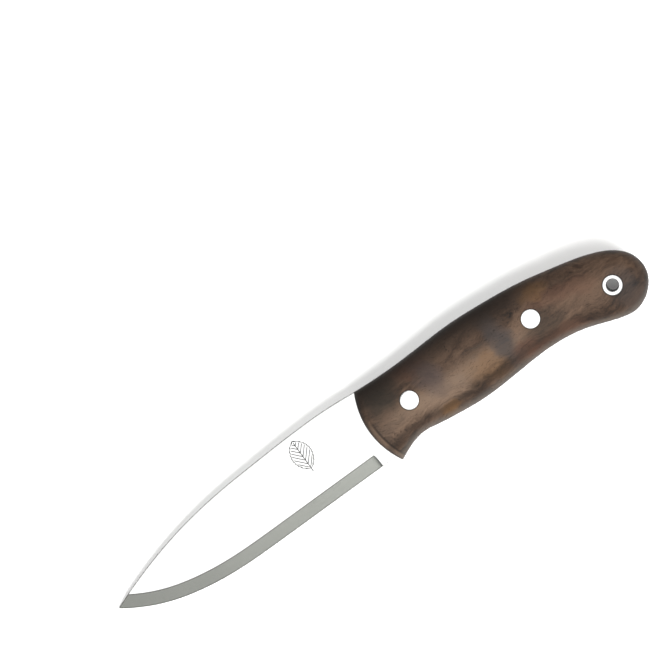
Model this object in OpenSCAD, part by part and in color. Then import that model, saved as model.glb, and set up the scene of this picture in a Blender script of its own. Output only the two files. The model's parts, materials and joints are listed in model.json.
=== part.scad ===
// Full-tang whittling knife: a drop-point blade with a flat grind, two contoured wooden
// scales, two two-part handle bolts ground flush, and a lanyard tube.
// The knife is drawn about its own middle plane: x from the tip to the butt, y towards the
// spine, z out of its left side. lie_down() then rests it on its right side.

/* [Blade] */
// Length from the tip to the front of the scales
blade_len = 112; // [90:1:135]
// Height from the straight part of the edge to the top of the spine
blade_h = 29.1; // [24:0.1:36]
// Height of the tip above the straight part of the edge
tip_rise = 14.7; // [11:0.1:18]
// Thickness of the steel, blade and tang
stock_t = 3; // [2:0.1:4]
// Width of the ground bevel, square to the edge
bevel_w = 5.2; // [3:0.1:8]
// Flat left along the cutting edge
edge_t = 0.1; // [0.05:0.05:0.3]
// Length of full-thickness steel between the bevel and the scales
ricasso_len = 3.2; // [2:0.1:8]

/* [Handle] */
// Length of the scales
handle_len = 116; // [95:1:140]
// Height of the handle, from its top line to the lowest point of the butt
handle_h = 36; // [30:0.5:44]
// How far the front of the scales bows towards the blade
front_bow = 3.9; // [2:0.1:6]
// Thickness at the front
front_t = 16; // [13:0.1:20]
// Thickness at the palm swell
swell_t = 22; // [17:0.1:28]
// Thickness at the waist behind the palm swell
waist_t = 18.4; // [14:0.1:23]
// Thickness at the butt flare
flare_t = 20.4; // [16:0.1:26]
// Length over which the front of a scale rolls down to the tang
front_round = 2.6; // [1:0.1:5]
// Length over which the butt of a scale rolls down to the tang
butt_round = 6; // [3:0.1:9]
// Squareness of the cross-section: 2 is an ellipse, larger is boxier
squareness = 2.4; // [2:0.1:3.5]
// Bedding film of cured epoxy under each scale
bond_t = 0.2; // [0.1:0.05:0.5]

/* [Bolts] */
// Diameter of the bolt heads
head_d = 7; // [6:0.1:9]
// Diameter of the bolt barrels
barrel_d = 5; // [4:0.1:5.5]
// Diameter of the screw cores
core_d = 3; // [2:0.1:3.5]
// Wood left under each bolt head
seat_t = 3.5; // [2:0.1:5]
// Front bolt, behind the front of the scales
front_bolt_in = 19; // [12:0.5:30]
// Front bolt, above the level of the tip
front_bolt_y = -0.8; // [-5:0.1:4]
// Rear bolt, ahead of the butt
rear_bolt_in = 44.3; // [30:0.5:55]
// Rear bolt, above the level of the tip
rear_bolt_y = -2.8; // [-6:0.1:2]

/* [Lanyard tube] */
// Outer diameter
tube_d = 7.5; // [6:0.1:9]
// Bore
tube_bore = 4.5; // [3:0.1:6]
// Tube centre, ahead of the butt
tube_in = 13.2; // [11:0.1:18]
// Tube centre, above the level of the tip
tube_y = -10.3; // [-13:0.1:-7]
// Chamfer at both rims
tube_chamfer = 0.3; // [0.1:0.05:0.5]
// How far each end stands out of the wood
tube_proud = 0.1; // [0:0.05:0.3]

/* [Fits] */
// Radial clearance of bolts and tube in their holes
slip = 0.02; // [0.01:0.01:0.1]
// Gap left past the end of a barrel, and past the end of a core
end_gap = 0.5; // [0.2:0.1:1]

/* [Hidden] */
$fn = 48;

left = 1;           // the side that faces up
right = -1;
curve_steps = 9;    // points along each stretch of an outline
edge_steps = 12;    // points along each curved stretch of the cutting edge
cutter_steps = 7;   // the same for the bevel cutter, so that no two of their corners meet
support_steps = 60; // points tried for the blade's rest
stations = 40;      // cross-sections along a scale
section_steps = 15; // faces across a scale: an odd count, so that one lies flat at the crest
reach = 0.36;       // handle length of each curve's control points, against its chord
spine_y = blade_h - tip_rise;
tang_z = stock_t / 2;
scale_z = tang_z + bond_t;
butt_x = blade_len + handle_len;
bolts = [[blade_len + front_bolt_in, front_bolt_y], [butt_x - rear_bolt_in, rear_bolt_y]];
tube_at = [butt_x - tube_in, tube_y];

// A point on the cubic curve with control points a, b, c and d
function bezier(a, b, c, d, t) =
    pow(1 - t, 3) * a + 3 * t * pow(1 - t, 2) * b + 3 * t * t * (1 - t) * c + pow(t, 3) * d;
// Points from knot p to knot q, each [x, y, heading in degrees], without q itself
function stretch(p, q, steps) =
    let (a = [p.x, p.y], d = [q.x, q.y], arm = reach * norm(d - a),
        b = a + arm * [cos(p.z), sin(p.z)], c = d - arm * [cos(q.z), sin(q.z)])
    [for (i = [0:steps - 1]) bezier(a, b, c, d, i / steps)];
function curve(knots, steps = curve_steps) =
    [for (i = [0:len(knots) - 2]) each stretch(knots[i], knots[i + 1], steps),
        [knots[len(knots) - 1].x, knots[len(knots) - 1].y]];
function reversed(list) = [for (i = [len(list) - 1:-1:0]) list[i]];

// Handle outline: shares of its length and height in percent, and headings
function handle_knot(along, up, heading) =
    [blade_len + handle_len * along / 100, handle_h * up / 100, heading];
corner_x = blade_len + front_bow;
butt_knot = handle_knot(100, -31, -90);
top_knots = [[corner_x, handle_h * 0.367, -4], handle_knot(19, 34.7, 0),
    handle_knot(46.5, 35, -5), handle_knot(72.5, 23.3, -13.5), butt_knot];
belly_knots = [butt_knot, handle_knot(88, -63.1, -189.5), handle_knot(72.5, -47.5, -193.5),
    handle_knot(30.5, -44.2, -186.5), handle_knot(17, -37.8, -191.5),
    [corner_x, handle_h * -0.472, -155.5]];
top_line = curve(top_knots);
belly_line = reversed(curve(belly_knots));

// Half thickness of the handle along its length, before the ends roll down: a straight taper
// from the front, then the palm swell, the waist and the butt flare
taper_share = 0.28;
taper_drop = 0.4;
flare_drop = 1; // the butt's end is thinner than the flare by this, on each side
taper = atan2((swell_t - front_t) / 2 - taper_drop, taper_share * handle_len);
function side_knot(share, half, heading) = [blade_len + share * handle_len, half, heading];
side_knots = [side_knot(0, front_t / 2, taper),
    side_knot(taper_share, swell_t / 2 - taper_drop, taper), side_knot(0.36, swell_t / 2, 0),
    side_knot(0.62, waist_t / 2, 0), side_knot(0.88, flare_t / 2, 0),
    side_knot(1, flare_t / 2 - flare_drop, -12)];
side_line = curve(side_knots);

// Share of the full thickness at a distance in from an end that rolls down over span
function roll(distance, span) =
    distance >= span ? 1 : pow(1 - pow(1 - distance / span, squareness), 1 / squareness);
function half_t(x) = scale_z + (lookup(x, side_line) - scale_z)
    * roll(x - corner_x, front_round) * roll(butt_x - x, butt_round);

// Cross-sections, closer together at both ends. The last one stands this far from the butt
butt_cap = 0.6;
station_x = [for (i = [0:stations - 1])
    corner_x + (butt_x - butt_cap - corner_x) * (1 - cos(180 * i / (stations - 1))) / 2];
// Share across the section and share of its height, round a superellipse
function across(k) = let (c = cos(180 * k / section_steps)) -sign(c) * pow(abs(c), 2 / squareness);
function risen(k) = k == 0 || k == section_steps ? 0
    : pow(sin(180 * k / section_steps), 2 / squareness);
// The front bow fades out over this length
bow_fade = 22;
function bowed(x, v) =
    x - front_bow * (1 - v * v) * pow(max(0, 1 - (x - corner_x) / bow_fade), 2);
function dome_point(x, k) =
    let (low = lookup(x, belly_line), high = lookup(x, top_line), v = across(k))
    [bowed(x, v), (low + high) / 2 + v * (high - low) / 2,
        scale_z + (half_t(x) - scale_z) * risen(k)];

row = section_steps + 1;
apex = stations * row;
dome_points = [for (x = station_x, k = [0:section_steps]) dome_point(x, k),
    [butt_x, butt_knot.y, scale_z]];
rim = [for (k = [0:section_steps]) k, for (i = [1:stations - 1]) i * row + section_steps, apex,
    for (i = [stations - 1:-1:1]) i * row];
handle_outline = [for (i = rim) [dome_points[i].x, dome_points[i].y]];

// Blade outline, from the tip along the spine and back along the edge
spine_knots = [[0, 0, 21], [blade_len * 0.57, spine_y * 0.93, 2.5],
    [blade_len * 0.86, spine_y, 0], [corner_x, top_knots[0].y, -6]];
spine_line = curve(spine_knots);
edge_knots = [[0, 0, -35], [blade_len * 0.237, -tip_rise * 0.8, -12.5],
    [blade_len * 0.57, -tip_rise, 0]];
edge_line = curve(edge_knots, edge_steps);
plunge_x = blade_len - ricasso_len;
// The blade's outline laps this far under the scales, and its corners stay inside theirs
lap = 4;
blade_outline = concat(spine_line, [[corner_x + lap, top_knots[1].y],
    [corner_x + lap, lap / 2 - tip_rise], [corner_x - lap / 4, -tip_rise]],
    reversed([for (i = [1:len(edge_line) - 1]) edge_line[i]]));

// Rest: the knife leans on its blade, near the tip, and on its palm swell.
// Each support is [distance along the knife, depth below its middle plane].
function to_edge(p) = min([for (e = edge_line) norm(p - e)]);
blade_supports = [for (p = curve([spine_knots[0], spine_knots[1]], support_steps))
    [p.x, tang_z * min(1, to_edge(p) / bevel_w)]];
crest = max([for (k = [0:section_steps]) risen(k)]);
handle_supports = [for (x = station_x)
    [bowed(x, 0), scale_z + (half_t(x) - scale_z) * crest]];
pitch = min([for (a = blade_supports)
    max([for (b = handle_supports) atan2(b.y - a.y, b.x - a.x)])]);
rest_z = max([for (s = concat(blade_supports, handle_supports))
    s.y * cos(pitch) - s.x * sin(pitch)]);
far_x = max([for (s = concat(handle_supports, [[butt_x, scale_z]]))
    s.x * cos(pitch) + s.y * sin(pitch)]);
outline_ys = [for (p = concat(handle_outline, blade_outline)) p.y];
mid_y = (max(outline_ys) + min(outline_ys)) / 2;
tube_half = half_t(tube_at.x) + tube_proud;
module lie_down() {
    translate([-far_x / 2, -mid_y, rest_z]) rotate([0, -pitch, 0]) children();
}

// A list of faces seen from outside, for a solid that is drawn on the left side and
// turned over for the right one
function facing(side, faces) = side == left ? faces : [for (f = faces) reversed(f)];
function placed(side, points) = [for (p = points) [p.x, p.y, side * p.z]];

// Bevel cutter: a triangular bar whose long side is the bevel
module bevel_cutter(side) {
    over = 0.3; // share of the bevel by which the cutter passes it on both sides
    lead = 3;   // the cutter starts this far ahead of the tip
    rise = (stock_t - edge_t) / 2;
    way = [[-lead, -lead * tan(edge_knots[0].z)],
        for (e = curve(edge_knots, cutter_steps)) if (e.x > 0) e, [plunge_x, -tip_rise]];
    last = len(way) - 1;
    function inward(i) =
        let (t = way[min(i + 1, last)] - way[max(i - 1, 0)]) [-t.y, t.x] / norm(t);
    function at(i, share, z) = let (p = way[i] + inward(i) * bevel_w * share) [p.x, p.y, z];
    points = [for (i = [0:last]) each [at(i, 1 + over, edge_t / 2 + rise * (1 + over)),
        at(i, -over, edge_t / 2 - rise * over), at(i, -over, stock_t)]];
    polyhedron(placed(side, points), facing(side, [[0, 2, 1], 3 * last * [1, 1, 1] + [0, 1, 2],
        for (i = [0:last - 1], k = [0:2]) let (a = 3 * i + k, b = 3 * i + (k + 1) % 3)
            each [[a, b, a + 3], [b, b + 3, a + 3]]]));
}

// A round bar at a point of the middle plane, between two heights
module bar(at, d, z1, z2) {
    translate([at.x, at.y, min(z1, z2)]) cylinder(d = d, h = abs(z2 - z1));
}
// The holes that the two barrels and the tube pass through
module shank_holes() {
    for (at = bolts) bar(at, barrel_d + 2 * slip, -handle_h, handle_h);
    bar(tube_at, tube_d + 2 * slip, -handle_h, handle_h);
}

// Solid of one scale before drilling: the domed skin, its cap at the butt, and the flat
// underside, which is a fan across the bowed front, a strip and a closing triangle
module dome(side) {
    top = section_steps;
    last = (stations - 1) * row;
    // The diagonals lean towards the middle, so that none lies in the underside's plane
    skin = [for (i = [0:stations - 2], k = [0:top - 1]) let (a = i * row + k, b = a + row)
        each k < top / 2 ? [[a, a + 1, b + 1], [a, b + 1, b]] : [[a, a + 1, b], [a + 1, b + 1, b]]];
    cap = [for (k = [0:top - 1]) [last + k, last + k + 1, apex]];
    underside = [for (k = [1:top - 1]) [top, k, k - 1],
        for (a = [0:row:last - 1]) each [[a, a + row, a + row + top], [a, a + row + top, a + top]],
        [last, apex, last + top]];
    polyhedron(placed(side, dome_points), facing(side, concat(skin, cap, underside)));
}

seat_z = scale_z + seat_t;
module scale_piece(side) {
    difference() {
        dome(side);
        shank_holes();
        for (at = bolts) bar(at, head_d + 2 * slip, side * seat_z, side * handle_h);
    }
}
module bond_layer(side) {
    difference() {
        translate([0, 0, side == left ? tang_z : -scale_z]) linear_extrude(bond_t)
            polygon(handle_outline);
        shank_holes();
    }
}
// A head that fills its counterbore and is ground flush with the wood
module flush_head(at, side) {
    intersection() {
        dome(side);
        bar(at, head_d, side * seat_z, side * handle_h);
    }
}

// Barrel: head on the left, its shank reaches into the right scale
barrel_end = seat_z - end_gap;
core_end = barrel_end - end_gap;
module bolt_barrel(at) {
    difference() {
        union() {
            flush_head(at, left);
            bar(at, barrel_d, -barrel_end, seat_z);
        }
        bar(at, core_d + 2 * slip, -2 * seat_z, core_end + end_gap);
    }
}
// Screw: head on the right, its core runs up the barrel
module bolt_screw(at) {
    flush_head(at, right);
    bar(at, core_d, -seat_z, core_end);
}

module blade_and_tang() color("gainsboro") lie_down() difference() {
    translate([0, 0, -tang_z]) linear_extrude(stock_t) union() {
        polygon(blade_outline);
        polygon(handle_outline);
    }
    bevel_cutter(left);
    bevel_cutter(right);
    shank_holes();
}
module left_scale() color("saddlebrown") lie_down() scale_piece(left);
module right_scale() color("saddlebrown") lie_down() scale_piece(right);
module left_bond_layer() color("black") lie_down() bond_layer(left);
module right_bond_layer() color("black") lie_down() bond_layer(right);
module front_bolt_barrel() color("silver") lie_down() bolt_barrel(bolts[0]);
module front_bolt_screw() color("silver") lie_down() bolt_screw(bolts[0]);
module rear_bolt_barrel() color("silver") lie_down() bolt_barrel(bolts[1]);
module rear_bolt_screw() color("silver") lie_down() bolt_screw(bolts[1]);
module lanyard_tube() color("silver") lie_down() translate([tube_at.x, tube_at.y, 0])
    rotate_extrude() polygon([[tube_bore / 2, tube_half - tube_chamfer],
        [tube_bore / 2 + tube_chamfer, tube_half], [tube_d / 2 - tube_chamfer, tube_half],
        [tube_d / 2, tube_half - tube_chamfer], [tube_d / 2, -tube_half + tube_chamfer],
        [tube_d / 2 - tube_chamfer, -tube_half], [tube_bore / 2 + tube_chamfer, -tube_half],
        [tube_bore / 2, -tube_half + tube_chamfer]]);

blade_and_tang();
left_scale();
right_scale();
left_bond_layer();
right_bond_layer();
front_bolt_barrel();
front_bolt_screw();
rear_bolt_barrel();
rear_bolt_screw();
lanyard_tube();
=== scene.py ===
import json
import math

import bmesh
import bpy
import numpy as np
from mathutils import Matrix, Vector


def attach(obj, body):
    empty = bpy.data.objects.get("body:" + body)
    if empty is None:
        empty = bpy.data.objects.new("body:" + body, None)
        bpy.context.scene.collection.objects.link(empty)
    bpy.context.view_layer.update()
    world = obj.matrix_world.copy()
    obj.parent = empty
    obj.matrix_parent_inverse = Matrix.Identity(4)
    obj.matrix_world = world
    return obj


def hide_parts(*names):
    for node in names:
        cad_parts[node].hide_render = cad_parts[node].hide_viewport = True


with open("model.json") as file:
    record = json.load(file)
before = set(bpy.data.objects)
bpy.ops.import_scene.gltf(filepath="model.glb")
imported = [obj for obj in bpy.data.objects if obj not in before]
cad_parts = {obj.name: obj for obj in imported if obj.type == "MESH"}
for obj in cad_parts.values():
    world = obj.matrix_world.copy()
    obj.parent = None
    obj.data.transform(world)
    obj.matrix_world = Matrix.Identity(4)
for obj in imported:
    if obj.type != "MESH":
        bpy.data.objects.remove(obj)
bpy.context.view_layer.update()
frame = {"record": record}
print("frame loaded")

# Sizes are in millimetres about the knife's own middle plane: x runs from the tip to the
# butt, y towards the spine, and z out of the left side, which lies uppermost.

bladeSizes = {
    "length": 112,
    "height": 29.1,
    "tipRise": 14.7,  # tip above the straight part of the edge
    "stock": 3,
    "bevel": 5.2,  # width of the ground bevel, square to the edge
    "edge": 0.1,  # flat left along the cutting edge
    "ricasso": 3.2,
    "plunge": 0.6,  # length over which the bevel runs out
    "cornerRound": 0.2,  # spine and ricasso corners
    "flushRound": 0.03,  # the same corners where the scales cover them
    "flatReach": 1e-4,  # faces this close to the flat are not the bevel
    "backReach": 0.3,  # nor this close to the spine,
    "tipReach": 12,  # except within this of the tip
}
handleSizes = {
    "length": 116,
    "height": 36,
    "cornerUp": 0.367,  # the front's two corners, as shares of the height
    "beakDown": 0.472,
    "bow": 3.9,  # how far the front bows towards the blade
    "bowFade": 22,
    "front": 16,  # thicknesses
    "swell": 22,
    "waist": 18.4,
    "flare": 20.4,
    "swellEase": 0.4,  # half thickness still to gain where the front's taper ends
    "buttDrop": 1,  # half thickness lost between the flare and the butt
    "frontRound": 2.6,
    "buttRound": 6,
    "squareness": 2.4,
    "bond": 0.2,
    "crest": 0.9954,  # the share of the thickness that the solid's flat crest keeps
    "stations": 150,
    "across": 64,
}
tubeSizes = {
    "outer": 7.5,
    "bore": 4.5,
    "fromButt": 13.2,
    "y": -10.3,
    "lip": 0.3,
    "proud": 0.1,
    "segments": 96,
}

bladeLength, handleLength = bladeSizes["length"], handleSizes["length"]
buttX = bladeLength + handleLength
cornerX = bladeLength + handleSizes["bow"]
halfStock = bladeSizes["stock"] / 2
scaleBase = halfStock + handleSizes["bond"]
tubeCentre = np.array([buttX - tubeSizes["fromButt"], tubeSizes["y"], 0])

# The lanyard bore in the record fixes where the knife lies and how it leans
bore = frame["record"]["mounts"][0]
lean = math.atan2(-bore["axis"][0], bore["axis"][2])
turn = np.array(
    [
        [math.cos(lean), 0, -math.sin(lean)],
        [0, 1, 0],
        [math.sin(lean), 0, math.cos(lean)],
    ]
)
shift = 1000 * np.array(bore["pos_m"]) - turn @ tubeCentre


def placed(points):
    # the knife's own millimetres to the frame's metres: turned by the lean, then shifted
    return (points @ turn.T + shift) / 1000


def ownPoints(points):
    # the frame's metres back to the knife's own millimetres
    return (1000 * points - shift) @ turn


def curvePoints(knots, steps=120, armShare=0.36):
    # a cubic for each pair of knots [x, y, heading in degrees]; its arms lie along the
    # headings and are a share of the chord
    knots = np.array(knots, float)
    start, end = knots[:-1, None, :2], knots[1:, None, :2]
    heading = np.radians(knots[:, 2])
    way = np.stack([np.cos(heading), np.sin(heading)], 1)[:, None]
    arm = armShare * np.linalg.norm(end - start, axis=2, keepdims=True)
    leave, arrive = start + arm * way[:-1], end - arm * way[1:]
    t = np.linspace(0, 1, steps, endpoint=False)[None, :, None]
    points = (1 - t) ** 3 * start + 3 * t * (1 - t) ** 2 * leave
    points = points + 3 * t**2 * (1 - t) * arrive + t**3 * end
    return np.concatenate([points.reshape(-1, 2), knots[-1:, :2]])


def handleKnot(along, up, heading):
    # a knot at percentages of the handle's length and height
    height = handleSizes["height"]
    return [bladeLength + handleLength * along / 100, height * up / 100, heading]


def sideKnot(share, half, heading):
    # a knot at a share of the handle's length, a half thickness out
    return [bladeLength + handleLength * share, half, heading]


# Outlines seen from the side, and the handle's half thickness seen from above
tipRise = bladeSizes["tipRise"]
spineY = bladeSizes["height"] - tipRise
topCorner = [cornerX, handleSizes["height"] * handleSizes["cornerUp"]]
beak = [cornerX, -handleSizes["height"] * handleSizes["beakDown"]]
buttKnot = handleKnot(100, -31, -90)
topLine = curvePoints(
    [
        [*topCorner, -4],
        handleKnot(19, 34.7, 0),
        handleKnot(46.5, 35, -5),
        handleKnot(72.5, 23.3, -13.5),
        buttKnot,
    ]
)
bellyLine = curvePoints(
    [
        buttKnot,
        handleKnot(88, -63.1, -189.5),
        handleKnot(72.5, -47.5, -193.5),
        handleKnot(30.5, -44.2, -186.5),
        handleKnot(17, -37.8, -191.5),
        [*beak, -155.5],
    ]
)[::-1]
spineLine = curvePoints(
    [
        [0, 0, 21],
        [0.57 * bladeLength, 0.93 * spineY, 2.5],
        [0.86 * bladeLength, spineY, 0],
        [*topCorner, -6],
    ]
)
leadBack, tipSlope, edgeSteps = 3, 35, 400  # the edge is led back past the tip at its own slope
leadStart = [-leadBack, leadBack * math.tan(math.radians(tipSlope))]
edgeLead = np.linspace(leadStart, [0, 0], 30, endpoint=False)
edgeCurve = curvePoints(
    [
        [0, 0, -tipSlope],
        [0.237 * bladeLength, -0.8 * tipRise, -12.5],
        [0.57 * bladeLength, -tipRise, 0],
    ],
    edgeSteps,
)
edgeFlat = np.linspace([0.575 * bladeLength, -tipRise], [cornerX, -tipRise], edgeSteps)
edgeLine = np.concatenate([edgeLead, edgeCurve, edgeFlat])
swellShare = 0.28  # where the taper ends
swellEnd = handleSizes["swell"] / 2 - handleSizes["swellEase"]
taper = math.degrees(math.atan2(swellEnd - handleSizes["front"] / 2, swellShare * handleLength))
sideLine = curvePoints(
    [
        sideKnot(0, handleSizes["front"] / 2, taper),
        sideKnot(swellShare, swellEnd, taper),
        sideKnot(0.36, handleSizes["swell"] / 2, 0),
        sideKnot(0.62, handleSizes["waist"] / 2, 0),
        sideKnot(0.88, handleSizes["flare"] / 2, 0),
        sideKnot(1, handleSizes["flare"] / 2 - handleSizes["buttDrop"], -12),
    ]
)


def heightOn(line, x):
    # y of a line of points over x, straight between them
    return np.interp(x, line[:, 0], line[:, 1])


def roll(distance, span):
    # share of full thickness at a distance in from an end: a superellipse's quarter over span
    n = handleSizes["squareness"]
    return (1 - (1 - np.clip(distance / span, 0, 1)) ** n) ** (1 / n)


def halfThick(x):
    # half the handle's thickness, rolled down to the bond line at both ends
    rolled = roll(x - cornerX, handleSizes["frontRound"]) * roll(buttX - x, handleSizes["buttRound"])
    return scaleBase + (heightOn(sideLine, x) - scaleBase) * rolled


def bowed(x, v):
    # the front bows towards the blade as a parabola across the handle, and fades along it
    fade = np.clip(1 - (x - cornerX) / handleSizes["bowFade"], 0, 1) ** 2
    return x - handleSizes["bow"] * (1 - v**2) * fade


def unbowed(x, y, passes=12):
    # undoes the bow by repeating: the x a point had on the straight handle, and its share
    # across the handle, -1 on the belly and 1 on the spine
    flat = x
    for _ in range(passes):
        low, high = heightOn(bellyLine, flat), heightOn(topLine, flat)
        v = np.clip((2 * y - low - high) / np.maximum(high - low, 1e-6), -1, 1)
        flat = x + flat - bowed(flat, v)
    return flat, v


def domeHeight(x, y):
    # height of a scale's skin over a point: the superellipse across the handle gives the
    # share of its thickness there
    flat, v = unbowed(x, y)
    n = handleSizes["squareness"]
    rise = handleSizes["crest"] * (1 - np.abs(v) ** n) ** (1 / n)
    return scaleBase + (halfThick(flat) - scaleBase) * rise


meshReach = {"made": 2e-7, "drilled": 2e-6}  # in metres: points closer than this are one


def cleanMesh(mesh, reach):
    # joins points closer than reach, drops faces left with no area, and faces the rest outward
    shell = bmesh.new()
    shell.from_mesh(mesh)
    bmesh.ops.remove_doubles(shell, verts=shell.verts, dist=reach)
    bmesh.ops.dissolve_degenerate(shell, edges=shell.edges, dist=reach)
    bmesh.ops.recalc_face_normals(shell, faces=shell.faces)
    shell.to_mesh(mesh)
    shell.free()


def gridPiece(name, grid, loop=False):
    # each ring of points closes on itself and joins the next; loop joins the last to the first
    rows, count = grid.shape[:2]
    index = np.arange(rows * count).reshape(rows, count)
    here, there = (index, np.roll(index, -1, 0)) if loop else (index[:-1], index[1:])
    quads = np.stack([here, np.roll(here, -1, 1), np.roll(there, -1, 1), there], -1)
    mesh = bpy.data.meshes.new(name)
    mesh.from_pydata(placed(grid.reshape(-1, 3)).tolist(), [], quads.reshape(-1, 4).tolist())
    cleanMesh(mesh, meshReach["made"])
    piece = bpy.data.objects.new(name, mesh)
    bpy.context.scene.collection.objects.link(piece)
    return piece


def turnedPiece(name, at, radii, heights, segments, loop=False):
    # a profile of radii and heights turned about an upright axis; a height may vary round its ring
    angle = np.linspace(0, 2 * math.pi, segments, endpoint=False)
    radii = np.asarray(radii, float)[:, None]
    x, y = at[0] + radii * np.cos(angle), at[1] + radii * np.sin(angle)
    z = [height(x[i], y[i]) if callable(height) else height for i, height in enumerate(heights)]
    z = np.stack([np.broadcast_to(level, x[0].shape) for level in z])
    return gridPiece(name, np.stack([x, y, z], -1), loop)


def drill(piece, holes):
    # takes round bars (at, diameter, low, high) out of a piece and applies the cuts
    bars = []
    for at, diameter, low, high in holes:
        radii = [0, diameter / 2, diameter / 2, 0]
        bars.append(turnedPiece("bar", at, radii, [low, low, high, high], boltSizes["segments"]))
        cut = piece.modifiers.new("hole", "BOOLEAN")
        cut.operation, cut.solver, cut.object = "DIFFERENCE", "MANIFOLD", bars[-1]
    bpy.context.view_layer.update()
    cutPiece = piece.evaluated_get(bpy.context.evaluated_depsgraph_get())
    drilled = bpy.data.meshes.new_from_object(cutPiece)
    old = piece.data
    piece.modifiers.clear()
    piece.data = drilled
    bpy.data.meshes.remove(old)
    drilled.name = piece.name
    cleanMesh(drilled, meshReach["drilled"])
    for bar in bars:
        mesh = bar.data
        bpy.data.objects.remove(bar)
        bpy.data.meshes.remove(mesh)


def finishPiece(piece, node, material, creaseAngle=32):
    # smooth shading up to the crease angle, then the piece's place in the frame
    mesh = piece.data
    mesh.shade_smooth()
    mesh.set_sharp_from_angle(angle=math.radians(creaseAngle))
    mesh.materials.clear()
    mesh.materials.append(material)
    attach(piece, "root")
    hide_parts(node)


def meshPoints(mesh):
    # every vertex, in the knife's own millimetres
    points = np.empty(3 * len(mesh.vertices))
    mesh.vertices.foreach_get("co", points)
    return ownPoints(points.reshape(-1, 3))


def faceCentres(mesh):
    # every face's centre, in the knife's own millimetres
    points = np.empty(3 * len(mesh.polygons))
    mesh.polygons.foreach_get("center", points)
    return ownPoints(points.reshape(-1, 3))


def addAttribute(mesh, name, domain, values):
    # one number for each face or vertex, which a material can read
    layer = mesh.attributes.new(name, "FLOAT", domain)
    layer.data.foreach_set("value", np.asarray(values, np.float32))


# The blade and its tang

edgeWay = np.gradient(edgeLine, axis=0)
edgeWay = edgeWay / np.linalg.norm(edgeWay, axis=1, keepdims=True)
edgeNormal = np.stack([-edgeWay[:, 1], edgeWay[:, 0]], 1)
edgeRun = np.concatenate([[0], np.cumsum(np.linalg.norm(np.diff(edgeLine, axis=0), axis=1))])
plungeX = bladeLength - bladeSizes["ricasso"]
backLine = np.concatenate([spineLine, topLine[1:]])  # the top of the blade and the tang


def edgeFoot(x, y, batches=20):
    # depth in from the cutting edge, square to it, and the distance run along it: both are
    # read at the edge's nearest point, which is looked for in batches to spare memory
    points = np.stack([np.ravel(x), np.ravel(y)], 1)
    nearest = np.concatenate(
        [
            np.argmin(((edgeLine - batch[:, None]) ** 2).sum(2), axis=1)
            for batch in np.array_split(points, batches)
        ]
    )
    depth = np.sum((points - edgeLine[nearest]) * edgeNormal[nearest], axis=1)
    return depth.reshape(np.shape(x)), edgeRun[nearest].reshape(np.shape(x))


def bladeStations():
    # x of each section: close at the tip, the plunge, the beak and the butt
    first, curveEnd = 0.02, 66
    quarter = np.linspace(0, math.pi / 2, 14)
    frontV = np.linspace(-1, -0.8, 9)
    halfTurn = np.linspace(0, math.pi, 170)
    parts = [
        np.geomspace(first, 3, 24) - first,  # the tip
        np.arange(3.3, curveEnd, 0.5),  # the curved edge
        np.arange(curveEnd, plungeX - 1, 1.4),  # the straight edge
        plungeX - bladeSizes["plunge"] * (1 - np.sin(quarter)),
        np.arange(plungeX + 0.4, cornerX - 1.6, 0.4),  # the ricasso
        cornerX - handleSizes["bow"] * (1 - frontV**2),  # under the bowed front
        cornerX + (buttX - cornerX) * (1 - np.cos(halfTurn)) / 2,  # the tang
    ]
    return np.unique(np.round(np.concatenate(parts), 5))


def tangUnderside():
    # the straight edge, the scales' bowed front as an arc, then the belly of the handle
    middle, half = (topCorner[1] + beak[1]) / 2, (topCorner[1] - beak[1]) / 2
    v = np.linspace((-tipRise - middle) / half, -1, 30)
    arc = np.stack([cornerX - handleSizes["bow"] * (1 - v**2), middle + half * v], 1)
    edge = edgeLine[(edgeLine[:, 0] >= 0) & (edgeLine[:, 0] < arc[0, 0] - 0.01)]
    return np.concatenate([edge, arc, bellyLine[1:]])


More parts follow.
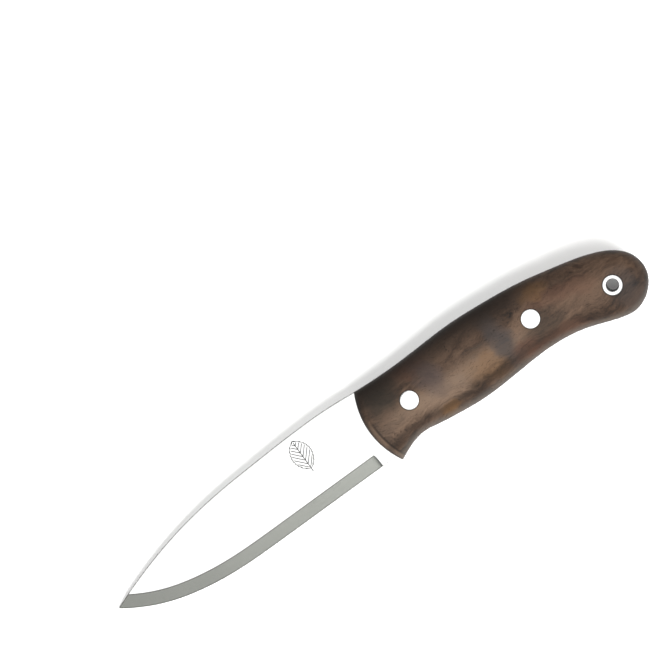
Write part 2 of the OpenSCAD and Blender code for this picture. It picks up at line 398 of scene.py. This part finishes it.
def bladeRings():
    # half a section runs up from the edge: bevel, flat, rounded corner; the other half mirrors it
    x = bladeStations()[:, None]
    low, high = heightOn(tangUnderside(), x), heightOn(backLine, x)
    into = np.clip((x - plungeX) / bladeSizes["plunge"] + 1, 0, 1)
    runOut = 1 - np.sqrt(1 - into**2)  # a quarter round at the plunge
    covered = np.clip(x - cornerX + 1, 0, 1)
    corner = bladeSizes["cornerRound"] * (1 - covered) + bladeSizes["flushRound"] * covered
    corner = np.minimum(corner, 0.2 * (high - low))
    thin = bladeSizes["edge"] / 2

    # the bevel, which the plunge turns into the ricasso's lower corner
    shoulderLine = edgeLine + bladeSizes["bevel"] * edgeNormal
    shoulder = np.minimum(heightOn(shoulderLine, x), high - corner)
    share = np.linspace(0, 1, 9)[None]
    bevelY = low + share * (shoulder - low)
    depth = edgeFoot(np.broadcast_to(x, bevelY.shape), bevelY)[0]
    bevelZ = thin + (halfStock - thin) * np.clip(depth / bladeSizes["bevel"], 0, 1)
    quarter = share * math.pi / 2
    roundY = low + corner * (1 - np.cos(quarter))
    roundZ = halfStock - corner * (1 - np.sin(quarter))
    bevelY = bevelY * (1 - runOut) + roundY * runOut
    bevelZ = bevelZ * (1 - runOut) + roundZ * runOut

    # the flat, and the corner at the back
    share = np.array([[0.01, 0.1, 0.25, 0.4, 0.55, 0.7, 0.85, 0.97]])
    flatY = bevelY[:, -1:] + share * (high - corner - bevelY[:, -1:])
    flatZ = np.repeat(bevelZ[:, -1:], share.size, 1)
    corner = np.minimum(corner, 0.4 * bevelZ[:, -1:])
    quarter = np.linspace(0, math.pi / 2, 5)[None]
    backY = high - corner * (1 - np.sin(quarter))
    backZ = bevelZ[:, -1:] - corner * (1 - np.cos(quarter))

    y = np.concatenate([bevelY, flatY, backY], 1)
    z = np.concatenate([bevelZ, flatZ, backZ], 1)
    y = np.concatenate([y, y[:, ::-1]], 1)
    z = np.concatenate([z, -z[:, ::-1]], 1)
    return np.stack([np.broadcast_to(x, y.shape), y, z], -1)


def shankHoles():
    # the clearance holes for both barrels and the tube, right through the knife
    slip = 2 * boltSizes["slip"]
    reach = handleSizes["height"]
    holes = [(at, boltSizes["barrel"] + slip, -reach, reach) for at in bolts.values()]
    return [*holes, (tubeCentre, tubeSizes["outer"] + slip, -reach, reach)]


def makeBlade(material):
    # the section swept from tip to butt and drilled; its attributes tell the material where
    # the bevel lies, how far in from the edge and the spine a point is, and how far along
    piece = gridPiece("blade", bladeRings())
    drill(piece, shankHoles())
    mesh = piece.data
    centres = faceCentres(mesh)
    depth, _ = edgeFoot(centres[:, 0], centres[:, 1])
    ahead = (depth < bladeSizes["bevel"]) & (centres[:, 0] < plungeX)
    ground = ahead & (np.abs(centres[:, 2]) < halfStock - bladeSizes["flatReach"])
    onBack = np.abs(centres[:, 1] - heightOn(backLine, centres[:, 0])) < bladeSizes["backReach"]
    addAttribute(mesh, "bevel", "FACE", ground & (~onBack | (centres[:, 0] < bladeSizes["tipReach"])))
    points = meshPoints(mesh)
    depth, run = edgeFoot(points[:, 0], points[:, 1])
    addAttribute(mesh, "run", "POINT", run)
    addAttribute(mesh, "depth", "POINT", depth)
    addAttribute(mesh, "fromSpine", "POINT", heightOn(backLine, points[:, 0]) - points[:, 1])
    finishPiece(piece, "blade_and_tang", material, 12)


# The scales and their bond layers


def handleStations():
    # x of each section, at even angles round both rolled ends
    n = handleSizes["squareness"]
    quarter = np.linspace(0, math.pi / 2, 28)
    rollIn = 1 - np.cos(quarter) ** (2 / n)
    front = cornerX + handleSizes["frontRound"] * rollIn
    back = buttX - handleSizes["buttRound"] * rollIn[::-1]
    middle = np.linspace(front[-1], back[0], handleSizes["stations"])[1:-1]
    return np.concatenate([front, middle, back])


def slabRings(side, outerHeight, innerHeight):
    # across the handle's outline at the outer height, then back at the inner height
    n = handleSizes["squareness"]
    angle = np.linspace(0, math.pi, handleSizes["across"] + 1)[None]
    v = -np.sign(np.cos(angle)) * np.abs(np.cos(angle)) ** (2 / n)
    rise = handleSizes["crest"] * np.clip(np.sin(angle), 0, 1) ** (2 / n)
    rise[:, [0, -1]] = 0
    x = handleStations()[:, None]
    low, high = heightOn(bellyLine, x), heightOn(topLine, x)
    y = (low + high) / 2 + v * (high - low) / 2
    outer = np.stack([bowed(x, v), y, side * (outerHeight(x, rise) + 0 * y)], -1)
    inner = np.stack([bowed(x, v), y, side * innerHeight + 0 * y], -1)[:, ::-1]
    front = np.concatenate([outer[:1], outer[:1, ::-1]], 1)  # closes the front
    return np.concatenate([front, np.concatenate([outer, inner], 1)])


def makeScale(side, material):
    # the bond line raised by the thickness times the rise, then drilled and counterbored;
    # its attributes give the distance behind the front and the share across the handle
    name = "left_scale" if side > 0 else "right_scale"
    rings = slabRings(side, lambda x, rise: scaleBase + (halfThick(x) - scaleBase) * rise, scaleBase)
    piece = gridPiece(name.replace("_", "-"), rings)
    low, high = sorted([side * (scaleBase + boltSizes["seat"]), side * handleSizes["height"]])
    head = boltSizes["head"] + 2 * boltSizes["slip"]
    drill(piece, [*shankHoles(), *[(at, head, low, high) for at in bolts.values()]])
    mesh = piece.data
    points = meshPoints(mesh)
    flat, v = unbowed(points[:, 0], points[:, 1])
    addAttribute(mesh, "front", "POINT", flat - cornerX)
    addAttribute(mesh, "across", "POINT", v)
    finishPiece(piece, name, material, 40)


def makeBond(side, material):
    # an even film between the tang and a scale
    name = "left_bond_layer" if side > 0 else "right_bond_layer"
    rings = slabRings(side, lambda x, rise: scaleBase + 0 * x, halfStock)
    piece = gridPiece(name.replace("_", "-"), rings)
    drill(piece, shankHoles())
    finishPiece(piece, name, material)


# The handle bolts and the lanyard tube

boltSizes = {
    "head": 7,
    "barrel": 5,
    "core": 3,
    "seat": 3.5,  # wood left under a head
    "frontIn": 19,
    "frontY": -0.8,
    "rearIn": 44.3,
    "rearY": -2.8,
    "rimRound": 0.1,
    "endGap": 0.5,  # from the barrel's end to the far seat, and again to the core's end
    "spareBore": 0.3,  # barrel bored on past the core's end
    "slip": 0.02,
    "segments": 72,
}
bolts = {
    "front": (bladeLength + boltSizes["frontIn"], boltSizes["frontY"]),
    "rear": (buttX - boltSizes["rearIn"], boltSizes["rearY"]),
}


def headTop(side):
    # radii and heights of a head ground flush with the wood, its rim very slightly rounded
    radius, rim = boltSizes["head"] / 2, boltSizes["rimRound"]
    quarter = np.linspace(0, math.pi / 2, 5)
    radii = [0, *np.linspace(0.15, 1, 6) * (radius - rim), *(radius - rim + rim * np.sin(quarter[1:]))]
    drops = [0] * 7 + list(rim * (1 - np.cos(quarter[1:])))
    return radii, [lambda x, y, drop=drop: side * (domeHeight(x, y) - drop) for drop in drops]


def makeBolt(which, kind, material):
    # a head and shank turned about an upright axis: the barrel is bored, the screw is solid
    at = bolts[which]
    side = 1 if kind == "barrel" else -1
    radii, heights = headTop(side)
    head, seat = boltSizes["head"] / 2, scaleBase + boltSizes["seat"]
    gap = boltSizes["endGap"]
    barrelEnd, coreEnd = gap - seat, seat - 2 * gap
    if kind == "barrel":
        shank, bored = boltSizes["barrel"] / 2, boltSizes["core"] / 2 + boltSizes["slip"]
        boreEnd = coreEnd + boltSizes["spareBore"]
        radii = [*radii, head, shank, shank, bored, bored, 0]
        heights = [*heights, seat, seat, barrelEnd, barrelEnd, boreEnd, boreEnd]
    else:
        core = boltSizes["core"] / 2
        radii = [*radii, head, core, core, 0]
        heights = [*heights, -seat, -seat, coreEnd, coreEnd]
    node = f"{which}_bolt_{kind}"
    piece = turnedPiece(node.replace("_", "-"), at, radii, heights, boltSizes["segments"])
    finishPiece(piece, node, material)


def makeTube(material):
    # a wall's section, its corners rounded by quarter circles, turned about the bore's axis
    inner, outer, lip = tubeSizes["bore"] / 2, tubeSizes["outer"] / 2, tubeSizes["lip"]
    half = float(halfThick(tubeCentre[0])) + tubeSizes["proud"]
    quarter = np.linspace(0, math.pi / 2, 7)
    radii = np.concatenate([outer - lip * (1 - np.cos(quarter)), inner + lip * (1 - np.sin(quarter))])
    heights = np.concatenate([half - lip * (1 - np.sin(quarter)), half - lip * (1 - np.cos(quarter))])
    radii = [*radii, *radii[::-1]]
    heights = [*heights, *-heights[::-1]]
    piece = turnedPiece("lanyard-tube", tubeCentre, radii, heights, tubeSizes["segments"], loop=True)
    finishPiece(piece, "lanyard_tube", material, 60)


# Materials


class Wire:
    # one output socket; arithmetic on it adds Math nodes to the same tree
    def __init__(self, socket):
        self.socket, self.tree = socket, socket.id_data

    def node(self, kind, settings=None, inputs=None, output=0):
        # adds any node: its settings first, then its sockets, linked or set
        made = self.tree.nodes.new("ShaderNode" + kind)
        for name, value in (settings or {}).items():
            setattr(made, name, value)
        for name, value in (inputs or {}).items():
            if isinstance(value, Wire):
                self.tree.links.new(value.socket, made.inputs[name])
            else:
                made.inputs[name].default_value = value
        return Wire(made.outputs[output])

    def math(self, operation, *values):
        # one Math node
        return self.node("Math", {"operation": operation}, dict(enumerate(values)))

    def __add__(self, other):
        return self.math("ADD", self, other)

    def __sub__(self, other):
        return self.math("SUBTRACT", self, other)

    def __rsub__(self, other):
        return self.math("SUBTRACT", other, self)

    def __mul__(self, other):
        return self.math("MULTIPLY", self, other)

    def __truediv__(self, other):
        return self.math("DIVIDE", self, other)

    __radd__, __rmul__ = __add__, __mul__

    def abs(self):
        # without its sign
        return self.math("ABSOLUTE", self)

    def larger(self, other):
        # whichever of the two is larger
        return self.math("MAXIMUM", self, other)

    def length(self, other):
        # of a flat vector with these two parts
        return self.math("SQRT", self * self + other * other)

    def step(self, low, high):
        # 0 below low, 1 above high, smooth between; the other way round when low is above high
        ends = {"From Min": low, "From Max": high, "Value": self}
        return self.node("MapRange", {"interpolation_type": "SMOOTHSTEP"}, ends)

    def near(self, place, outer, inner):
        # 1 within the inner distance of a place, 0 beyond the outer one
        return (self - place).abs().step(outer, inner)

    def reading(self, name):
        # an attribute of the piece
        return self.node("Attribute", {"attribute_name": name}, {}, 2)

    def parts(self):
        # x, y and z of a vector
        made = self.node("SeparateXYZ", {}, {0: self}).socket.node
        return [Wire(output) for output in made.outputs]

    def stretched(self, x, y, z):
        # a vector with each part multiplied
        return self.node("Mapping", {}, {"Vector": self, "Scale": (x, y, z)})

    def noise(self, scale, detail=2, roughness=0.5, distortion=0, output=0):
        # noise read at a vector: output 0 is its value, output 1 its colour
        sizes = {"Scale": scale, "Detail": detail, "Roughness": roughness, "Distortion": distortion}
        return self.node("TexNoise", {}, {"Vector": self, **sizes}, output)

    def grain(self, along, *sizes):
        # noise drawn out along the knife, where only a share of its scale is left
        return self.stretched(along, 1, 1).noise(*sizes)

    def moved(self, other, amount):
        # a vector pushed by another that is centred on a half
        centred = self.node("VectorMath", {"operation": "SUBTRACT"}, {0: other, 1: (0.5, 0.5, 0.5)})
        push = self.node("VectorMath", {"operation": "SCALE"}, {0: centred, "Scale": amount})
        return self.node("VectorMath", {"operation": "ADD"}, {0: self, 1: push})

    def ramp(self, *stops):
        # a colour for each position, straight between them
        made = self.node("ValToRGB", {}, {0: self})
        elements = made.socket.node.color_ramp.elements
        while len(elements) < len(stops):
            elements.new(0.5)
        for element, (position, colour) in zip(elements, stops):
            element.position, element.color = position, (*colour, 1)
        return made

    def blend(self, first, second):
        # this value as the factor between two colours
        ends = [value if isinstance(value, Wire) else (*value, 1) for value in (first, second)]
        return self.node("Mix", {"data_type": "RGBA"}, {0: self, 6: ends[0], 7: ends[1]}, 2)

    def bump(self, strength, distance):
        # the normal of a surface raised by this height
        return self.node("Bump", {}, {"Height": self, "Strength": strength, "Distance": distance})


def newMaterial(name):
    # a Principled material, with the knife's own millimetres read back from Object coordinates
    material = bpy.data.materials.new(name)
    material.use_nodes = True
    shader = material.node_tree.nodes["Principled BSDF"]
    place = Wire(material.node_tree.nodes.new("ShaderNodeTexCoord").outputs["Object"])
    back = {"Scale": (1000, 1000, 1000), "Rotation": (0, lean, 0), "Location": tuple(-(shift @ turn))}
    return material, shader, place.node("Mapping", {}, {"Vector": place, **back})


def setShader(shader, values):
    # wires are linked to their sockets, numbers and colours are set on them
    for name, value in values.items():
        if isinstance(value, Wire):
            value.tree.links.new(value.socket, shader.inputs[name])
        else:
            shader.inputs[name].default_value = value


walnut = {
    "dark": (0.0075, 0.006, 0.0052),
    "brown": (0.035, 0.0215, 0.0145),
    "light": (0.080, 0.050, 0.033),
    "warm": (0.100, 0.052, 0.021),
    "red": (0.066, 0.030, 0.019),
    "blueGrey": (0.026, 0.0235, 0.0235),
    "purpleGrey": (0.038, 0.030, 0.030),
    "greenGrey": (0.0135, 0.0125, 0.0100),
    # painted highlight: the pale tone laid on the palm swell and on the front's crest
    "gleaming": (0.140, 0.096, 0.067),
    # painted reflection: the pale tone on the belly's edge, where the floor's light shows
    "paintedRimLight": (0.095, 0.083, 0.071),
    "roughness": 0.45,
    "specular": 0.25,
    # noise per millimetre: share left along the grain, scale, detail, roughness, distortion
    "figure": (0.3, 0.16, 3, 0.5, 0.3),
    "streaks": (0.06, 0.8, 4, 0.55, 0.2),
    "hairs": (0.05, 4, 3, 0.6, 0),
    "speckle": (0.5, 2.6, 3, 0.6, 0),
    "pores": (0.12, 3.6, 1, 0.4, 0),
    # how far noise pushes the grain and the patches' edges, in millimetres
    "drift": 16,
    "waver": 3,
    "patchWaver": 7,
}
walnutPatches = [
    # middle x and y, half length, half width, degrees turned, colour, strength
    (122.5, 6.7, 8, 8, 0, "greenGrey", 0.8),
    (137.5, 9, 8, 4.5, 0, "red", 0.45),
    (142, 1.7, 6, 9, 10, "purpleGrey", 0.6),
    (161, -7.5, 9, 6, -20, "warm", 0.5),
    (141.5, -12.6, 5, 3, 0, "warm", 0.8),
    (170.6, -2.5, 5, 12, 6, "blueGrey", 0.8),
    (172, 8, 14, 4.5, -8, "dark", 0.4),
    (178, -12, 7, 5, -15, "red", 0.6),
    (187, -8, 9, 6, -10, "greenGrey", 0.45),
    (190, 5.2, 6, 3.5, -8, "warm", 0.6),
    (205, -6, 12, 5, -14, "light", 0.6),
    (198, -1.5, 15, 4, -14, "red", 0.4),
    (192, -14.4, 10, 3.5, -12, "red", 0.5),
    (219, -15, 7, 11, 0, "blueGrey", 0.55),
]


def patch(x, y, middle, half, degrees):
    # a soft ellipse: 1 in its middle, 0 outside
    c, s = math.cos(math.radians(degrees)), math.sin(math.radians(degrees))
    along = ((x - middle[0]) * c + (y - middle[1]) * s) / half[0]
    aside = ((y - middle[1]) * c - (x - middle[0]) * s) / half[1]
    return (along * along + aside * aside).step(1.5, -0.3)


def fittingRims(x, y, width):
    # a thin ring just outside each bolt head and the tube
    fittings = [*[(at, boltSizes["head"]) for at in bolts.values()], (tubeCentre, tubeSizes["outer"])]
    mask = 0.0
    for at, size in fittings:
        mask = ((x - at[0]).length(y - at[1]) - size / 2).step(width, 0.0) + mask
    return mask


def woodMaterial():
    # noise drawn out along the grain sets the tone; patches, painted light and shade, dark rings
    # round the fittings and pores are laid over it
    material, shader, own = newMaterial("oiled walnut")
    slow = own.stretched(1, 1.6, 1.6).noise(0.035, 2, 0.5, 0.2, 1)
    fine = own.noise(0.2, 2, 0.5, 0, 1)
    bent = own.moved(slow, walnut["drift"]).moved(fine, walnut["waver"])
    figure, streaks, hairs = [bent.grain(*walnut[name]) for name in ("figure", "streaks", "hairs")]
    speckle = own.grain(*walnut["speckle"])
    tone = figure * 0.42 + streaks * 0.3 + hairs * 0.14 + speckle * 0.14
    colour = tone.ramp((0.35, walnut["dark"]), (0.46, walnut["brown"]), (0.60, walnut["light"]))

    # across runs from -1 on the belly to 1 on the spine, front in millimetres from the front
    across, front = own.reading("across"), own.reading("front")
    uneven = (streaks - 0.5) * 0.35 + (figure - 0.5) * 0.3
    # painted highlight: a pale band across the palm swell, where a lamp's sheen would fall
    swell = (across + uneven).near(-0.27, 0.48, 0.02) * front.step(76, 36) * front.step(-8, 22)
    colour = (swell * 0.7).blend(colour, walnut["gleaming"])
    x, y, _ = own.moved(fine, walnut["patchWaver"]).parts()
    ragged = 0.2 + figure * 0.7 + streaks * 0.6 + speckle * 0.3
    for *place, name, strength in walnutPatches:
        mask = patch(x, y, place[:2], place[2:4], place[4])
        colour = (mask * ragged * strength).blend(colour, walnut[name])

    # painted shade along the spine, at the front's edge, on a line inside the front and on the slope
    # above the belly; dark rings round the fittings; painted highlight on the front's crest and
    # painted reflection on the belly's edge
    x, y, _ = own.parts()
    towardsFront = front.step(90, 62)
    # painted shade: darker towards the spine, most towards the front
    spineShade = (across + uneven).step(0.1, 1.0) * (towardsFront * 0.7 + 0.15)
    # painted highlight: a pale band on the front's crest
    crest = front.near(1.2, 1.1, 0.2) * across.step(0.5, -0.1)
    # painted shade: a dark line along the ridge just inside the front
    ridgeShade = (front + uneven).near(2.1, 0.5, 0.05) * across.step(0.3, -0.2)
    # painted shade: a dark band where the side rolls over towards the belly
    slopeShade = (across + uneven * 0.5).near(-0.67, 0.17, 0.0) * towardsFront
    pores = bent.grain(*walnut["pores"]).step(0.64, 0.74)
    layers = [
        (spineShade, "dark"),
        # painted highlight: the front's crest paled
        (crest * 0.5, "gleaming"),
        (ridgeShade * 0.6, "dark"),
        # painted shade: the front's very edge darkened
        (front.step(0.35, 0.1) * 0.7, "dark"),
        (slopeShade * 0.45, "dark"),
        # painted reflection: the belly's edge paled
        (across.step(-0.78, -0.995) * 0.6, "paintedRimLight"),
        (fittingRims(x, y, 0.5) * 0.65, "dark"),
        (pores * 0.6, "dark"),
    ]
    for mask, name in layers:
        colour = mask.blend(colour, walnut[name])
    roughness = walnut["roughness"] + (streaks - 0.5) * 0.12 + pores * 0.2
    height = hairs * 0.4 + streaks * 0.3 - pores * 0.8
    setShader(shader, {"Base Color": colour, "Roughness": roughness, "Normal": height.bump(0.5, 0.00004)})
    setShader(shader, {"Specular IOR Level": walnut["specular"]})
    return material


steel = {
    "flat": (0.80, 0.80, 0.79),
    "cloudy": (0.74, 0.745, 0.74),
    "scratched": (0.66, 0.66, 0.65),
    # painted dark reflection: the bevel's steel is given a darker colour than the flats'
    "bevel": (0.62, 0.635, 0.585),
    # painted dark reflection and shade for the thin lines at the bevel's end, the edge, the plunge and
    # the spine
    "line": (0.2, 0.205, 0.19),  # where the bevel ends
    "etch": (0.03, 0.03, 0.03),
    "flatRoughness": 0.24,
    "bevelRoughness": 0.2,
    "lineWidth": 0.55,
    "plungeBack": 0.2,
    "etchAt": (87.2, 6.0),
    "etchHeight": 11.8,
    "etchWidth": 3.9,  # half of the leaf's
    "etchLine": 0.13,  # half of a line's
    "etchFade": 0.05,
    "teeth": (5.0, 0.1),  # per millimetre, and their height
    "veins": (1.6, 1.1),  # spacing, and slope
}


def etchMask(x, y, z):
    # a plain leaf in thin lines: two arcs with small teeth, midrib, stalk and paired veins
    half, wide, line = steel["etchHeight"] / 2, steel["etchWidth"], steel["etchLine"]
    edge = line + steel["etchFade"]
    u, v = (x - steel["etchAt"][0]).abs(), y - steel["etchAt"][1]
    radius = (wide**2 + half**2) / (2 * wide)
    fromArc = (u + (radius - wide)).length(v) - radius
    count, tall = steel["teeth"]
    teeth = v.math("SINE", v * count) * tall
    outline = (fromArc + teeth).abs().step(edge, line)
    rib = u.step(edge, line) * v.step(-half - 1.4, -half - 1.2) * v.step(half - 0.5, half - 0.7)
    spacing, slope = steel["veins"]
    slant = (v - u * slope) / spacing
    thin = line * 0.93
    vein = slant.math("FRACT", slant).near(0.5, thin + 0.03, thin) * fromArc.step(-0.3, -0.5)
    return outline.larger(rib.larger(vein)) * z.step(1.0, 1.2)  # on the left side only


def bladeMaterial():
    # grinding lines along the flats and square to the edge on the bevel, with a soft cloud
    material, shader, own = newMaterial("satin blade steel")
    x, y, z = own.parts()
    bevel, run, depth = own.reading("bevel"), own.reading("run"), own.reading("depth")
    lengthwise = own.grain(0.015, 7, 4, 0.7)
    squareOn = own.node("CombineXYZ", {}, {0: run * 6, 1: y * 0.15, 2: z * 0.1}).noise(1, 4, 0.7)
    lines = lengthwise * (1 - bevel) + squareOn * bevel
    cloud = own.noise(0.06, 3)
    colour = (cloud.step(0.35, 0.7) * 0.35).blend(steel["flat"], steel["cloudy"])
    # painted dark reflection: the bevel darker than the flats
    colour = bevel.blend(colour, steel["bevel"])
    colour = ((lines - 0.5).step(0.0, 0.3) * 0.25).blend(colour, steel["scratched"])

    # painted dark reflections and shade in thin lines: cutting edge, bevel's shoulder, plunge and spine
    width = steel["lineWidth"]
    shoulder = depth.near(bladeSizes["bevel"], width, 0.0)
    plunge = x.near(plungeX - steel["plungeBack"], 2 * width, 0.0)
    lineShade = depth.step(width, 0.0).larger(shoulder).larger(plunge) * bevel
    # painted shade: a thin dark line along the spine
    spineShade = own.reading("fromSpine").step(0.5, 0.1)
    colour = (lineShade * 0.85).larger(spineShade * 0.6).blend(colour, steel["line"])
    etch = etchMask(x, y, z)
    colour = etch.blend(colour, steel["etch"])
    roughness = steel["flatRoughness"] + bevel * (steel["bevelRoughness"] - steel["flatRoughness"])
    roughness = roughness + (lines - 0.5) * 0.16 + (cloud - 0.5) * 0.05 + etch * 0.35
    height = lines - etch * 1.5
    setShader(shader, {"Base Color": colour, "Metallic": 1 - etch, "Roughness": roughness})
    setShader(shader, {"Normal": height.bump(0.25, 0.000006)})
    return material


fitting = {
    "bright": (0.82, 0.82, 0.81),
    "dull": (0.72, 0.72, 0.72),
    "paintedBoreShade": (0.03, 0.029, 0.028),
    "roughness": 0.17,
}


def fittingMaterial():
    # fine sanding lines and a soft cloud; the lanyard bore is dull inside, its wall painted near black as
    # shade
    material, shader, own = newMaterial("polished fitting steel")
    lines, cloud = own.grain(0.08, 9, 4, 0.65), own.noise(0.4, 2)
    x, y, _ = own.parts()
    radius, wall = (x - tubeCentre[0]).length(y - tubeCentre[1]), tubeSizes["bore"] / 2
    # painted shade: the bore's wall turns near black and not metallic
    bored = radius.step(wall + 0.15, wall + 0.05)
    colour = bored.blend((cloud * 0.4).blend(fitting["bright"], fitting["dull"]), fitting["paintedBoreShade"])
    roughness = fitting["roughness"] + (lines - 0.5) * 0.14 + (cloud - 0.5) * 0.06 + bored * 0.4
    setShader(shader, {"Base Color": colour, "Metallic": 1 - bored, "Roughness": roughness})
    setShader(shader, {"Normal": lines.bump(0.2, 0.000005)})
    return material


epoxy = {"dark": (0.012, 0.009, 0.008), "pale": (0.03, 0.02, 0.014), "roughness": 0.3}


def bondMaterial():
    # a cloud between two near blacks
    material, shader, own = newMaterial("cured dark epoxy")
    cloud = own.noise(0.8, 3)
    setShader(shader, {"Base Color": cloud.blend(epoxy["dark"], epoxy["pale"])})
    setShader(shader, {"Roughness": epoxy["roughness"] + cloud * 0.2, "Normal": cloud.bump(0.3, 0.00001)})
    return material


# Put together

bladeSteel, fittingSteel = bladeMaterial(), fittingMaterial()
oiledWalnut, curedEpoxy = woodMaterial(), bondMaterial()
print("materials made")
makeBlade(bladeSteel)
print("blade made")
for side in (1, -1):
    makeScale(side, oiledWalnut)
    makeBond(side, curedEpoxy)
print("scales and bond layers made")
for which in bolts:
    for kind in ("barrel", "screw"):
        makeBolt(which, kind, fittingSteel)
makeTube(fittingSteel)
print("bolts and lanyard tube made")

# Floor, light and camera

studio = {
    "floorHalf": 3.0,
    "floorColour": (0.9, 0.9, 0.89),
    "floorRoughness": 0.75,
    "skyDark": 0.12,  # towards the spine
    "skyBright": 0.6,  # towards the edge
    "skyBelow": 0.25,  # added below the horizon, where glossy rays pass the floor
}
lamps = {
    # place, width and power in watts; one lamp shows in the metal, the others light matt surfaces
    "panel": {"at": (-0.1, -0.1, 1.05), "width": 0.75, "power": 2.4, "gloss": True},
    "key": {"at": (0.1, -0.6, 1.2), "width": 0.7, "power": 31.0, "gloss": False},
    "fill": {"at": (0.0, 0.9, 0.9), "width": 0.7, "power": 14.0, "gloss": False},
}
view = {
    "centre": (0.0077, 0.0433),
    "distance": 2.4,
    "aboveFloor": 0.012,  # the knife's middle, where the frame's width is measured
    "width": 0.2355,
    "turn": -36.1,  # degrees about the upright axis
}


def makeFloor():
    # one plain square
    half = studio["floorHalf"]
    corners = [(-half, -half, 0), (half, -half, 0), (half, half, 0), (-half, half, 0)]
    mesh = bpy.data.meshes.new("floor")
    mesh.from_pydata(corners, [], [(0, 1, 2, 3)])
    floor = bpy.data.objects.new("floor", mesh)
    bpy.context.scene.collection.objects.link(floor)
    material = bpy.data.materials.new("pale floor")
    material.use_nodes = True
    shader = material.node_tree.nodes["Principled BSDF"]
    setShader(shader, {"Base Color": (*studio["floorColour"], 1), "Roughness": studio["floorRoughness"]})
    mesh.materials.append(material)
    floor.visible_glossy = False  # polished steel would mirror it as plain white


def makeLamp(name, lamp):
    # a square panel aimed at the knife; the camera doesn't see it
    data = bpy.data.lights.new(name, "AREA")
    data.shape, data.size, data.energy = "SQUARE", lamp["width"], lamp["power"]
    panel = bpy.data.objects.new(name, data)
    panel.location = lamp["at"]
    panel.rotation_mode = "QUATERNION"
    panel.rotation_quaternion = (-Vector(lamp["at"])).to_track_quat("-Z", "Y")
    panel.visible_camera = False
    panel.visible_glossy, panel.visible_diffuse = lamp["gloss"], not lamp["gloss"]
    bpy.context.scene.collection.objects.link(panel)


def makeSky():
    # plain white, dimmer towards the spine: the strength follows the direction's y
    world = bpy.data.worlds.new("studio")
    world.use_nodes = True
    bpy.context.scene.world = world
    background = world.node_tree.nodes["Background"]
    way = Wire(world.node_tree.nodes.new("ShaderNodeTexCoord").outputs["Generated"])
    _, y, z = way.parts()
    share = y * -0.5 + 0.5
    strength = studio["skyDark"] + share * (studio["skyBright"] - studio["skyDark"])
    strength = strength + z.step(0.0, -0.4) * studio["skyBelow"]
    background.inputs["Color"].default_value = (1, 1, 1, 1)
    world.node_tree.links.new(strength.socket, background.inputs["Strength"])


def makeCamera():
    # looks straight down; the lens follows from the distance and the width it takes in
    data = bpy.data.cameras.new("camera")
    data.lens = data.sensor_width * view["distance"] / view["width"]
    data.clip_start, data.clip_end = 0.01, 20
    camera = bpy.data.objects.new("camera", data)
    camera.location = (*view["centre"], view["aboveFloor"] + view["distance"])
    camera.rotation_euler = (0, 0, math.radians(view["turn"]))
    bpy.context.scene.collection.objects.link(camera)
    bpy.context.scene.camera = camera


makeFloor()
for name, lamp in lamps.items():
    makeLamp(name, lamp)
makeSky()
bpy.context.scene.view_settings.view_transform = "Standard"
makeCamera()
print("studio made")
